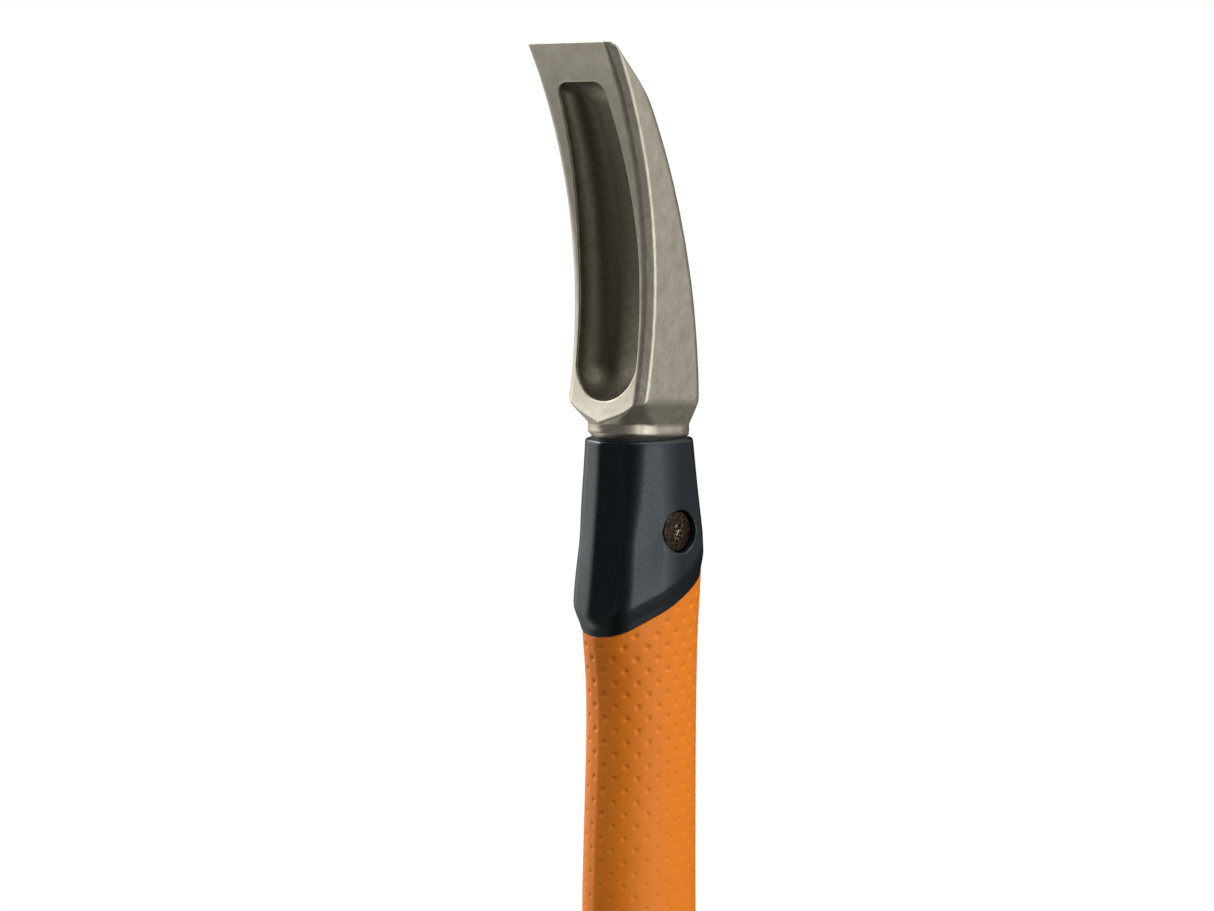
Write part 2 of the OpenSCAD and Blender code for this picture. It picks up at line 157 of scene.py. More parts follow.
# Above this height the bevel runs straight, this far forward for each mm of height
BEVEL_FLAT_Z, BEVEL_SLOPE = 116.0, 1.0
HALF_AT_COLLAR, HALF_GROWTH = 16.86, 0.019
FRONT_CHAMFER = 2.75
CHAMFER_SLANT = math.sqrt(0.5)

# Roundings of the blade's edges
TOP_CORNER, REAR_EDGE, SPINE_EDGE, BEVEL_EDGE = 1.6, 1.1, 1.2, 1.0
CHAMFER_EDGE, UNDERSIDE_EDGE, POCKET_EDGE = 0.5, 0.6, 0.4
# The front edge's rounding at the top, how it grows for each mm down, and its most
FRONT_EDGE_TOP, FRONT_EDGE_GROWTH, FRONT_EDGE_MOST = 0.3, 0.06, 0.8

POCKET_TOP, POCKET_LOW, POCKET_HALF = 117.0, 13.2, 13.05
POCKET_WALL, POCKET_CORNER, POCKET_DRAFT = 1.4, 3.6, 0.1
POCKET_FILLET_LEAST, POCKET_FILLET_MOST = 1.5, 11.0
# The pocket narrows above this height, by these shares of the height above it and of its square
TAPER_Z, TAPER, TAPER_CURVE = 60, 0.04, 0.00035

BASE_TILT = 0.06
NECK_WAIST, NECK_FOOT = 5.5, 0.3
NECK_EDGE, EDGE_TILT, TUCK = 1.2, 0.07, 0.8
NECK_ROUND, NECK_RIDGE, NECK_TOP = 13.0, 2.0, 1.3
NECK_CREASE, NECK_FILLET = 0.35, 0.35
LIP, LIP_Z, LIP_HALF = 0.16, 2.5, 1.2

# Waviness of the forging: height and length of each
SLOW_WAVE, FAST_WAVE = (0.035, 9.0), (0.02, 4.1)

# Underside facets: azimuth, neck's offset, offset where the flare starts, its growth per mm of height,
# and the rounding to the facet before
UNDERSIDE = [
    (24.7, 19.1, 19.8, 0.93, 0.0),
    (60, 16.3, 16.6, 0.95, 7.0),
    (90, 13.5, 13.7, 0.49, 6.0),
    (131, 16.5, 16.5, 0.42, 1.0),
    (160, 16.6, 16.8, 0.75, 1.5),
]


def half_width(z):
    return HALF_AT_COLLAR + HALF_GROWTH * z


def reach_from(centre, fwd, z):
    return np.hypot(fwd - centre[0], z - centre[1])


def pocket_field(x, fwd, z, behind_front):
    """The pocket in the front face, with a round lower end and a floor on its own arc."""
    upper = np.maximum(z - TAPER_Z, 0)
    sides = np.abs(x) - (POCKET_HALF - TAPER * upper - TAPER_CURVE * upper ** 2)
    outline = both(sides, z - POCKET_TOP, POCKET_CORNER)
    round_z = POCKET_LOW + POCKET_HALF
    outline = np.where(z < round_z, np.hypot(x, z - round_z) - POCKET_HALF, outline)
    outline = outline + POCKET_DRAFT * behind_front
    floor = reach_from(FLOOR_AT, fwd, z) - FLOOR_R
    front_here = FRONT_AT[0] - np.sqrt(FRONT_R ** 2 - (z - FRONT_AT[1]) ** 2)
    floor_here = FLOOR_AT[0] - np.sqrt(np.maximum(FLOOR_R ** 2 - (z - FLOOR_AT[1]) ** 2, 1))
    fillet = np.clip(front_here - floor_here - POCKET_WALL, POCKET_FILLET_LEAST, POCKET_FILLET_MOST)
    return both(outline, floor, fillet)


def blade_field(x, fwd, z):
    """The blade's own faces, down to below its base."""
    front = FRONT_R - reach_from(FRONT_AT, fwd, z)
    side = np.abs(x) - half_width(z)
    front_chamfer = (front + side + FRONT_CHAMFER) * CHAMFER_SLANT
    to_side_rear = reach_from(SIDE_REAR_AT, fwd, z) - SIDE_REAR_R
    rear_chamfer = (to_side_rear + side) * CHAMFER_SLANT
    spine = reach_from(SPINE_AT, fwd, z) - SPINE_R
    over = np.maximum(z - BEVEL_FLAT_Z, 0)
    bevel = reach_from(BEVEL_AT, fwd - BEVEL_SLOPE * over, z - over) - BEVEL_R
    bevel = np.minimum(bevel, z - BEVEL_LOW)
    front_edge = np.clip(
        FRONT_EDGE_TOP + (BLADE_TOP - z) * FRONT_EDGE_GROWTH, FRONT_EDGE_TOP, FRONT_EDGE_MOST)

    blade = both(side, z - BLADE_TOP, TOP_CORNER)
    blade = both(blade, rear_chamfer, REAR_EDGE)
    blade = both(blade, spine, SPINE_EDGE)
    blade = both(blade, bevel, BEVEL_EDGE)
    blade = both(blade, front_chamfer, np.minimum(front_edge, CHAMFER_EDGE))
    return both(blade, front, front_edge)


def head_field(x, fwd, z):
    """The blade, its faceted underside, and the neck below it."""
    blade = blade_field(x, fwd, z)
    up = z - NECK_WAIST - BASE_TILT * fwd
    below_edge = NECK_EDGE + EDGE_TILT * fwd - z
    under = column = foot = None
    last = 0
    for azimuth, neck, start, slope, rounding in UNDERSIDE:
        sloped = (facet(x, fwd, azimuth, start) - slope * up) / math.hypot(1, slope)
        flat = facet(np.hypot(x, NECK_RIDGE), fwd, azimuth, neck)
        tucked = (flat + TUCK * below_edge) / math.hypot(1, TUCK)
        turn = azimuth - last
        soft = max(rounding, NECK_ROUND)
        under = sloped if under is None else corner(under, sloped, rounding, turn)
        column = flat if column is None else corner(column, flat, soft, turn)
        foot = tucked if foot is None else corner(foot, tucked, soft, turn)
        last = azimuth
    blade = both(blade, under, UNDERSIDE_EDGE)
    behind_front = reach_from(FRONT_AT, fwd, z) - FRONT_R
    blade = without(blade, pocket_field(x, fwd, z, behind_front), POCKET_EDGE)
    lip = LIP * np.exp(-((z - LIP_Z) / LIP_HALF) ** 2)
    column = both(column - lip, foot, NECK_CREASE)
    column = both(both(column, up - NECK_TOP, SMALL_EDGE), NECK_FOOT - z, FINE_EDGE)
    head = either(blade, column, NECK_FILLET)
    slow = SLOW_WAVE[0] * waves(x, fwd, z, SLOW_WAVE[1])
    return head + slow + FAST_WAVE[0] * waves(fwd, z, x, FAST_WAVE[1])


TANG_WIDTH, TANG_DEPTH, TANG_TOP = 11.4, 22.4, 4.0
TANG_BOLT_HOLE, TANG_END_EDGE = 10.0, 1.0


def tang_field(x, fwd, z):
    """The bar that runs down into the handle, with its two cross holes."""
    bar = stadium(x, fwd, TANG_DEPTH, TANG_WIDTH)
    bar = both(both(bar, z - TANG_TOP, TINY_EDGE), TANG_LOW - z, TANG_END_EDGE)
    bar = without(bar, cross_hole(fwd, z, BOLT_Z, TANG_BOLT_HOLE), FINE_EDGE)
    return without(bar, cross_hole(fwd, z, PIN_Z, PIN_D), FINE_EDGE)


# ---------- Handle section ----------

# How far the collar and the cap stand out from the grip
PROUD = 0.7
# The collar's lower border and the cap's upper one: height on the axis, and how much it slants
BORDER_Z, BORDER_SLOPE = -53.9, 0.49
CAP_Z, CAP_SLOPE = 46.0, 0.25
SMOOTHING = (-6.0, -3.0, 0.0, 3.0, 6.0)
# Height above the butt, and the oval's half depth in front, half depth behind, and half width
SECTIONS = np.array([
    (-20, 25.0, 25.0, 17.9), (0, 25.0, 25.0, 17.9), (14, 25.7, 25.7, 18.4), (30, 25.0, 25.0, 17.9),
    (48, 23.8, 23.8, 17.1), (70, 22.4, 22.4, 16.1), (95, 21.5, 21.5, 15.6), (130, 21.6, 21.7, 15.7),
    (170, 22.2, 22.5, 16.0), (220, 22.8, 23.0, 16.3), (265, 23.1, 23.1, 16.4), (305, 23.0, 22.6, 16.2),
    (327, 22.7, 22.3, 16.1), (344, 22.0, 22.3, 16.0), (361, 21.1, 22.3, 16.0), (377, 20.2, 22.3, 16.0),
    (394, 20.0, 22.6, 16.0), (402, 20.6, 22.8, 16.0), (408, 21.4, 23.0, 16.0), (414, 22.3, 23.2, 16.1),
    (421, 22.9, 23.8, 16.3), (433, 24.0, 24.8, 16.7), (500, 25.0, 26.0, 17.0),
])


def section(butt_z, column):
    """One column of SECTIONS at a height, with the table's corners smoothed."""
    heights, sizes = SECTIONS[:, 0], SECTIONS[:, column]
    return sum(np.interp(butt_z + shift, heights, sizes) for shift in SMOOTHING) / len(SMOOTHING)


def oval(x, fwd, butt_z, proud):
    """The handle's section as a field, grown by proud."""
    a = np.where(fwd > 0, section(butt_z, 1), section(butt_z, 2)) + proud
    b = section(butt_z, 3) + proud
    k = np.sqrt((x / b) ** 2 + (fwd / a) ** 2) + 1e-6
    steep = np.sqrt((x / b ** 2) ** 2 + (fwd / a ** 2) ** 2) + 1e-6
    return (k - 1) * k / steep


# ---------- Collar ----------

BELT, FLARE_END = 8.8, 10.8
COUNTERBORE = 14.0
TANG_GAP = 0.6
# Shallow hollow in the face: its middle (x, fwd, z), radius and depth
DISH_AT, DISH_SIZE, DISH_DEPTH = (12.0, 13.0, -34.0), 9.0, 0.7
# Facets: azimuth, offset at the top, offset at the belt, how late it flares, how much it draws in for
# each mm below the belt, rounding to the one before
COLLAR_FACETS = [
    (20, 19.4, 24.4, 1.4, 0.24, 0.0),
    (66, 17.2, 19.4, 1.3, 0.24, 10.0),
    (90, 17.2, 19.1, 1.5, 0.18, 22.0),
    (131.5, 17.6, 21.3, 1.0, 0.08, 1.2),
    (156, 17.0, 23.2, 1.0, 0.08, 3.0),
]
# Rounding of the front ridge above the belt and at the border, and what the top adds to each corner
RIDGE_SOFT, HEM_SOFT, TOP_ROUND = 0.9, 3.5, 4.0
HEM_DRAW, HEM_FROM_BELT = 0.25, 6
TOP_EDGE = 1.0
# How softly the flare ends at the belt, and how softly the collar starts to draw in below it
FLARE_SOFT, DRAW_SOFT, DRAW_START = 0.002, 0.1, 0.3


def collar_field(x, fwd, z):
    """Facets that flare down to a belt, then draw in to the slanted border."""
    above_border = z - BORDER_Z + BORDER_SLOPE * fwd
    full = -BORDER_Z + BORDER_SLOPE * fwd
    above_belt = above_border - BELT
    left = (above_border - FLARE_END) / np.maximum(full - FLARE_END, 1)
    down = np.clip(1 - 0.5 * (left + np.sqrt(left * left + FLARE_SOFT)), 0, 1)
    below = np.sqrt(np.minimum(above_belt, 0) ** 2 + DRAW_SOFT) - DRAW_START
    soft = RIDGE_SOFT + (HEM_SOFT - RIDGE_SOFT) * smooth_step(0, HEM_FROM_BELT, below)
    side = np.sqrt(x * x + soft * soft)
    shell = None
    last = 0
    for azimuth, top, belt, late, draw, rounding in COLLAR_FACETS:
        flat = facet(side, fwd, azimuth, top) - (belt - top) * down ** late + draw * below
        rounding = rounding + TOP_ROUND * (1 - down) ** 2
        shell = flat if shell is None else corner(shell, flat, rounding, azimuth - last)
        last = azimuth
    away = (np.abs(x) - DISH_AT[0]) ** 2 + (fwd - DISH_AT[1]) ** 2 + (z - DISH_AT[2]) ** 2
    shell = shell + DISH_DEPTH * np.exp(-away / DISH_SIZE ** 2)
    hem = oval(x, fwd, z + COLLAR_Z, PROUD + HEM_DRAW * np.maximum(above_border, 0))
    shell = both(shell, hem, BROAD_EDGE)
    shell = both(shell, z, TOP_EDGE)
    shell = both(shell, -above_border * math.cos(math.atan(BORDER_SLOPE)), SMALL_EDGE)
    bore = np.maximum(stadium(x, fwd, SKIN_DEPTH, SKIN_WIDTH), z - CORE_TOP)
    window = stadium(x, fwd, TANG_DEPTH + TANG_GAP, TANG_WIDTH + TANG_GAP)
    shell = without(shell, np.minimum(bore, window), FINE_EDGE)
    return without(shell, cross_hole(fwd, z, BOLT_Z, COUNTERBORE), SMALL_EDGE)


# ---------- Bolt and barrel nut ----------

# How much further out the heads stand than the CAD's
HEAD_RAISE = 1.4
DOME, DRIVE_SIZE, DRIVE_DEPTH, LOBE = 0.4, 5.8, 2.2, 0.125
BOLT_SHANK, NUT_BARREL, WASHER = 6.0, 10.0, 1.2
# How far the shank and the barrel run into their heads, and the roundings there and at the ends
RUN_IN, RUN_IN_EDGE = 1, 0.1
HEAD_FILLET, SHANK_END_EDGE = 0.4, 0.4
SEAT = TUBE_HALF + WASHER


def drive_field(y, z, size):
    """Six-lobed recess in the plane of the head."""
    a = np.arctan2(z, y)
    return np.hypot(y, z) - size / 2 * (1 - LOBE + LOBE * np.cos(6 * a))


def bolt_head_field(x, fwd, z):
    """Domed head whose outer side looks to +X, with its drive recess."""
    top = BOLT_TOP + HEAD_RAISE
    half = BOLT_HEAD / 2
    dome_r = (half * half + DOME * DOME) / (2 * DOME)
    r = np.hypot(fwd, z)
    head = both(r - half, np.sqrt(r * r + (x - top + dome_r) ** 2) - dome_r, SMALL_EDGE)
    head = both(head, SEAT - x, TINY_EDGE)
    recess = both(drive_field(fwd, z, DRIVE_SIZE), top - DRIVE_DEPTH - x, SMALL_EDGE)
    return without(head, recess, FINE_EDGE)


def bolt_field(x, fwd, z):
    z = z - BOLT_Z
    shank = both(np.hypot(fwd, z) - BOLT_SHANK / 2, BOLT_END - x, SHANK_END_EDGE)
    shank = both(shank, x - SEAT - RUN_IN, RUN_IN_EDGE)
    return either(bolt_head_field(x, fwd, z), shank, HEAD_FILLET)


def nut_field(x, fwd, z):
    z = z - BOLT_Z
    barrel = both(np.hypot(fwd, z) - NUT_BARREL / 2, x - TUBE_HALF, FINE_EDGE)
    barrel = both(barrel, -SEAT - RUN_IN - x, RUN_IN_EDGE)
    nut = either(bolt_head_field(-x, -fwd, z), barrel, HEAD_FILLET)
    thread = np.maximum(np.hypot(fwd, z) - BOLT_SHANK / 2, 1 - TUBE_HALF - x)
    return without(nut, thread, TINY_EDGE)


# ---------- Butt cap ----------

CAP_WALL = 5.0
CAP_FOOT = 3.0
GROOVE_BELOW, GROOVE_R, GROOVE_EDGE = 5.5, 0.9, 0.4
HANG_HOLE = 11.0


def cap_field(x, fwd, z):
    """Cap with flat sides and a groove along its border; z is the height above the butt."""
    shell = both(oval(x, fwd, z, PROUD), np.abs(x) - CAP_HALF, BROAD_EDGE)
    border = (z - CAP_Z + CAP_SLOPE * fwd) * math.cos(math.atan(CAP_SLOPE))
    shell = both(shell, border, SMALL_EDGE)
    shell = both(shell, -z, CAP_FOOT)
    groove = np.hypot(shell, border + GROOVE_BELOW) - GROOVE_R
    shell = without(shell, groove, GROOVE_EDGE)
    bore = np.maximum(stadium(x, fwd, SKIN_DEPTH, SKIN_WIDTH), CAP_WALL - z)
    shell = without(shell, bore, FINE_EDGE)
    return without(shell, cross_hole(fwd, z, HOLE_Z, HANG_HOLE), TINY_EDGE)


# ---------- Meshes ----------

PULLS, LEAST_STEEP, LONGEST_MOVE = 3, 0.05, 0.4


def to_frame(points, lift):
    """Millimetre points [x, fwd, z] as the frame's metres."""
    out = np.empty_like(points)
    out[:, 0] = points[:, 0]
    out[:, 1] = -points[:, 1]
    out[:, 2] = points[:, 2] + lift
    return out * MM


def new_mesh(name, verts, faces, normals=None):
    mesh = bpy.data.meshes.new(name)
    mesh.from_pydata(verts.tolist(), [], faces.tolist() if hasattr(faces, "tolist") else faces)
    mesh.update()
    mesh.shade_smooth()
    if normals is not None:
        mesh.normals_split_custom_set_from_vertices(normals.tolist())
    piece = bpy.data.objects.new(name, mesh)
    bpy.context.scene.collection.objects.link(piece)
    return piece


def gradient(field, p, h=0.02):
    g = np.empty_like(p)
    for k in range(3):
        step = np.zeros(3)
        step[k] = h
        ahead = field(*(p + step).T)
        back = field(*(p - step).T)
        g[:, k] = (ahead - back) / (2 * h)
    return g


def crossed_cells(inside):
    """Indices of the grid cells whose eight corners aren't all on one side."""
    counts = inside.shape
    total = np.zeros(tuple(n - 1 for n in counts), np.uint8)
    for i in (0, 1):
        for j in (0, 1):
            for k in (0, 1):
                total += inside[i:counts[0] - 1 + i, j:counts[1] - 1 + j, k:counts[2] - 1 + k]
    return np.argwhere((total > 0) & (total < 8))


def cell_points(values, cells):
    """For each cell, the mean of the places where the surface cuts its edges, in cell units."""
    sums = np.zeros((len(cells), 3))
    hits = np.zeros(len(cells))
    corners = [(i, j, k) for i in (0, 1) for j in (0, 1) for k in (0, 1)]
    for a in corners:
        for axis in range(3):
            if a[axis]:
                continue
            b = list(a)
            b[axis] = 1
            va = values[tuple((cells + a).T)]
            vb = values[tuple((cells + b).T)]
            cross = (va < 0) != (vb < 0)
            t = np.where(cross, va / np.where(cross, va - vb, 1), 0)
            at = np.array(a, float) + t[:, None] * (np.array(b) - np.array(a))
            sums += at * cross[:, None]
            hits += cross
    return cells + sums / hits[:, None]


def cell_faces(inside, cells):
    """A quad for each grid edge that the surface cuts, round the four cells that share the edge."""
    index = np.full(tuple(n - 1 for n in inside.shape), -1, np.int64)
    index[tuple(cells.T)] = np.arange(len(cells))
    unit = np.eye(3, dtype=int)
    faces = []
    for axis in range(3):
        u, v = (axis + 1) % 3, (axis + 2) % 3
        near = [slice(1, -1)] * 3
        near[axis] = slice(0, -1)
        far = [slice(1, -1)] * 3
        far[axis] = slice(1, None)
        here, there = inside[tuple(near)], inside[tuple(far)]
        edges = np.argwhere(here != there)
        outward = here[tuple(edges.T)]
        edges[:, [u, v]] += 1
        around = (unit[u] + unit[v], unit[v], 0 * unit[u], unit[u])
        quad = np.stack([index[tuple((edges - step).T)] for step in around], axis=1)
        quad[~outward] = quad[~outward][:, ::-1]
        faces.append(quad)
    return np.concatenate(faces)


def pull_to_surface(field, points, cell):
    """Moves points along the field's slope until they lie on its zero surface."""
    for _ in range(PULLS):
        g = gradient(field, points)
        steep = np.maximum((g * g).sum(1), LEAST_STEEP)
        move = (-field(*points.T) / steep)[:, None] * g
        length = np.linalg.norm(move, axis=1, keepdims=True)
        move *= np.minimum(1, LONGEST_MOVE * cell / np.maximum(length, 1e-9))
        points += move


def surface(name, field, low, high, cell, lift=0.0):
    """Meshes the zero surface of a field: one vertex in each cell that the surface crosses, then
    moved onto the surface along the field's slope."""
    low = np.array(low, float)
    counts = np.ceil((np.array(high, float) - low) / cell).astype(int) + 1
    axes = [low[k] + cell * np.arange(counts[k]) for k in range(3)]
    x, fwd, z = np.meshgrid(*axes, indexing="ij", sparse=True)
    values = np.broadcast_to(field(x, fwd, z), tuple(counts)).astype(np.float32)
    inside = values < 0
    cells = crossed_cells(inside)
    points = low + cell * cell_points(values, cells)
    pull_to_surface(field, points, cell)
    g = gradient(field, points)
    g /= np.maximum(np.linalg.norm(g, axis=1, keepdims=True), 1e-9)
    normals = g * np.array([1, -1, 1])
    # turning fwd into -Y mirrors the mesh, so each face turns round
    faces = cell_faces(inside, cells)[:, ::-1]
    return new_mesh(name, to_frame(points, lift), faces, normals)


def closed_tube(name, rings):
    """Closed mesh through rings of equal size, its last ring joined to its first."""
    count, sides = len(rings), len(rings[0])
    verts = np.concatenate(rings)
    ring = np.arange(count)[:, None] * sides
    step = np.arange(sides)[None, :]
    after = (np.arange(count) + 1)[:, None] % count * sides
    nxt = (step + 1) % sides
    faces = np.stack([ring + step, ring + nxt, after + nxt, after + step], axis=2).reshape(-1, 4)
    return new_mesh(name, verts * MM, faces)


def mark(piece, name, share):
    """Stores share(x, fwd, z), from 0 to 1, at each point of a piece, for its finish."""
    points = np.empty(len(piece.data.vertices) * 3)
    piece.data.vertices.foreach_get("co", points)
    x, y, z = points.reshape(-1, 3).T / MM
    stored = piece.data.attributes.new(name, "FLOAT", "POINT")
    stored.data.foreach_set("value", share(x, -y, z - COLLAR_Z))
    return piece


# The pocket's painted shade ends between these distances outside the pocket
POCKET_SHADE_END = 0.05, 0.45
# How far the wear reaches from the drive's walls, its unworn middle, and its depth below the head
WORN_REACH, WORN_CENTRE, WORN_DEPTH = 0.5, 1.2, 1.5


# painted shade: how far a point lies inside the pocket, where the steel's colour is darkened to stand
# in for the shade in the deep recess
def pocket_shade_share(x, fwd, z):
    behind_front = reach_from(FRONT_AT, fwd, z) - FRONT_R
    return 1 - smooth_step(*POCKET_SHADE_END, pocket_field(x, fwd, z, behind_front))


def on_drive(x, fwd, z):
    """How near a point is to the rim and the walls of the bolt's drive."""
    off = drive_field(fwd, z - BOLT_Z, DRIVE_SIZE)
    near = np.exp(-(np.maximum(off, 0) / WORN_REACH) ** 2)
    off_centre = np.hypot(fwd, z - BOLT_Z) > WORN_CENTRE
    return near * off_centre * (x > BOLT_TOP - WORN_DEPTH)


# ---------- Grip ----------

# Dimples: columns round the grip, rows, and where they fade away down the handle
COLUMNS = 30
ROW_PITCH, ROW_AT = 8.0, -104.0
FADE_TOP, FADE_LOW = -56.0, -215.0
# A dimple's least radius and depth, and how much the fade adds to each
DIMPLE_R, DIMPLE_R_MORE = 0.45, 1.05
DIMPLE_DEPTH, DIMPLE_DEPTH_MORE = 0.2, 0.4
# The dimples end between these distances from the collar's border
CLEAR_OF_BORDER = 1.0, 3.0
SEAM, SEAM_HALF = 0.3, 1.6
PLAIN_RINGS = 40
OUTLINE_DEPTH, OUTLINE_WIDTH = 21.0, 15.6


def grip_angles(count):
    """The oval's angles, evenly spaced along its edge from the front, and the edge's length."""
    fine = np.linspace(0, 2 * math.pi, 4001)
    edge = np.hypot(np.diff(OUTLINE_WIDTH * np.sin(fine)), np.diff(OUTLINE_DEPTH * np.cos(fine)))
    along = np.concatenate([[0], np.cumsum(edge)])
    return np.interp(np.arange(count) / count * along[-1], along, fine), along[-1]


def ring_slope(t):
    """How much a ring slants, from the cap's border at 0 to the collar's at 1."""
    return np.where(t < 0.5, CAP_SLOPE * np.maximum(1 - 2 * t, 0) ** 3,
                    BORDER_SLOPE * np.maximum(2 * t - 1, 0) ** 3)


def make_grip():
    """Sleeve of rings that follow the section, with dimples pressed in below the collar."""
    per_column = 8
    angles, edge_length = grip_angles(COLUMNS * per_column)
    high = COLLAR_Z + BORDER_Z
    dimpled = COLLAR_Z + FADE_LOW
    fine_count = int((high - dimpled) / (edge_length / len(angles)))
    fine = np.linspace(dimpled, high, fine_count)
    levels = np.concatenate([np.linspace(CAP_Z, dimpled, PLAIN_RINGS, endpoint=False), fine])

    spacing = edge_length / COLUMNS
    share = np.arange(len(angles)) / len(angles) * COLUMNS
    column = np.floor(share)
    off_column = (share - column - 0.5) * spacing
    row_shift = np.where(column % 2 == 0, 0.5, 0.0) * ROW_PITCH
    sine, cosine = np.sin(angles), np.cos(angles)
    rings = []
    for z in levels:
        slope = float(ring_slope((z - CAP_Z) / (high - CAP_Z)))
        local = np.full(len(angles), z)
        for _ in range(4):
            half = np.where(cosine > 0, section(local, 1), section(local, 2))
            x = section(local, 3) * sine
            fwd = half * cosine
            local = z - slope * fwd
        fwd = fwd + SEAM * np.exp(-(x / SEAM_HALF) ** 2) * (fwd > 0)
        nx, nf = sine / OUTLINE_WIDTH, cosine / OUTLINE_DEPTH
        size = np.hypot(nx, nf)
        below = local - COLLAR_Z
        fade = np.clip((below - FADE_LOW) / (FADE_TOP - FADE_LOW), 0, 1)
        radius = DIMPLE_R + DIMPLE_R_MORE * fade
        depth = DIMPLE_DEPTH + DIMPLE_DEPTH_MORE * fade
        off_row = (below - ROW_AT - row_shift + ROW_PITCH / 2) % ROW_PITCH - ROW_PITCH / 2
        r = np.hypot(off_column, off_row) / radius
        margin = smooth_step(*CLEAR_OF_BORDER, BORDER_Z - BORDER_SLOPE * fwd - below)
        dent = depth * np.maximum(1 - r * r, 0) ** 2 * margin * (below > FADE_LOW + ROW_PITCH / 2)
        rings.append(np.stack([x - dent * nx / size, dent * nf / size - fwd, local], axis=1))
    inner_x = SKIN_WIDTH / 2 * sine
    inner_y = -SKIN_WIDTH / 2 * cosine - np.sign(cosine) * (SKIN_DEPTH - SKIN_WIDTH) / 2
    for z, slope in ((high, BORDER_SLOPE), (CAP_Z, CAP_SLOPE)):
        rings.append(np.column_stack([inner_x, inner_y, z + slope * inner_y]))
    return closed_tube("grip", rings)


# ---------- Eyelet ----------

def lathe_x(name, profile, z, sides=96):
    """Closed profile of [x, radius] turned about the line along X at a height."""
    rings = []
    for x, r in profile:
        a = np.linspace(0, 2 * math.pi, sides, endpoint=False)
        rings.append(np.stack([np.full(sides, x), r * np.cos(a), z + r * np.sin(a)], axis=1))
    return closed_tube(name, rings)


def arc(cx, cr, radius, start, end, steps=8):
    a = np.radians(np.linspace(start, end, steps))
    return [(cx + radius * c, cr + radius * s) for c, s in zip(np.cos(a), np.sin(a))]


EYELET_HOLE, EYELET_WALL, EYELET_FLANGE, EYELET_LIP = 4.0, 1.5, 8.5, 1.0
WASHER_ROLL, WASHER_HOLE_ROLL = 0.45, 0.7


def make_eyelet():
    """Flanged tube that lines the hanging hole from the +X side."""
    flat, top = CAP_HALF, EYELET_HIGH[0]
    hole, bore_wall, flange = EYELET_HOLE, EYELET_HOLE + EYELET_WALL, EYELET_FLANGE
    roll = (top - flat) * 0.5
    profile = [(-flat, bore_wall), (-flat, hole)]
    profile += arc(top - EYELET_LIP, hole + EYELET_LIP, EYELET_LIP, 270, 360)
    profile += arc(top - roll, flange - roll, roll, 0, 90)
    profile += [(flat, flange), (flat, bore_wall)]
    return lathe_x("hang_eyelet_turned", profile, HOLE_Z)


def make_washer():
    """The ring on the -X side that the eyelet is set against."""
    flat, outer = CAP_HALF, WASHER_LOW[0]
    hole, flange, roll, hole_roll = EYELET_HOLE, EYELET_FLANGE, WASHER_ROLL, WASHER_HOLE_ROLL
    profile = [(-flat, flange)]
    profile += arc(outer + roll, flange - roll, roll, 90, 180)
    profile += arc(outer + hole_roll, hole + hole_roll, hole_roll, 180, 270)
    profile += [(-flat, hole)]
    return lathe_x("eyelet_washer_turned", profile[::-1], HOLE_Z)


# ---------- Materials ----------

# Sockets of a colour Mix node, which share their names with its other kinds
MIX_A, MIX_B, MIX_RESULT = 6, 7, 2
BARE_STEEL = (0.75, 0.68, 0.6)


def material(name, colour, roughness, metallic=0.0):
    m = bpy.data.materials.new(name)
    m.use_nodes = True
    shader = m.node_tree.nodes["Principled BSDF"]
    shader.inputs["Base Color"].default_value = (*colour, 1)
    shader.inputs["Roughness"].default_value = roughness
    shader.inputs["Metallic"].default_value = metallic
    return m, m.node_tree, shader


def add(tree, kind, **values):
    node = tree.nodes.new(kind)
    for key, value in values.items():
        if key in node.inputs:
            node.inputs[key].default_value = value
        else:
            setattr(node, key, value)
    return node


def position(tree):
    """The place on the object, from one shared node."""
    coords = tree.nodes.get("Place") or tree.nodes.new("ShaderNodeTexCoord")
    coords.name = "Place"
    return coords.outputs["Object"]


def noise(tree, size_mm, detail=2.0, roughness=0.5):
    """Noise whose features are about size_mm across."""
    node = add(tree, "ShaderNodeTexNoise", Scale=1 / (size_mm * MM), Detail=detail, Roughness=roughness)
    tree.links.new(position(tree), node.inputs["Vector"])
    return node.outputs["Fac"]


def ramp(tree, value, stops):
    """Colour ramp through stops of (place, colour or grey)."""
    node = tree.nodes.new("ShaderNodeValToRGB")
    elements = node.color_ramp.elements
    while len(elements) < len(stops):
        elements.new(0.5)
    for element, (at, colour) in zip(elements, stops):
        element.position = at
        element.color = (*colour, 1) if hasattr(colour, "__len__") else (colour, colour, colour, 1)
    tree.links.new(value, node.inputs["Fac"])
    return node.outputs["Color"]


def mix(tree, share, first, second):
    """The first colour where share is 0, and the second where it is 1."""
    node = add(tree, "ShaderNodeMix", data_type="RGBA")
    tree.links.new(share, node.inputs["Factor"])
    for socket, colour in ((MIX_A, first), (MIX_B, second)):
        if isinstance(colour, tuple):
            node.inputs[socket].default_value = (*colour, 1)
        else:
            tree.links.new(colour, node.inputs[socket])
    return node.outputs[MIX_RESULT]


def stored(tree, name):
    """A value that mark() stored on the piece, or 0 on a piece without it."""
    return add(tree, "ShaderNodeAttribute", attribute_name=name).outputs["Fac"]


def bump(tree, shader, layers):
    """Stacks bump layers of (height, strength, distance in mm)."""
    normal = None
    for height, strength, distance in layers:
        node = add(tree, "ShaderNodeBump", Strength=strength, Distance=distance * MM)
        tree.links.new(height, node.inputs["Height"])
        if normal is not None:
            tree.links.new(normal, node.inputs["Normal"])
        normal = node.outputs["Normal"]
    tree.links.new(normal, shader.inputs["Normal"])


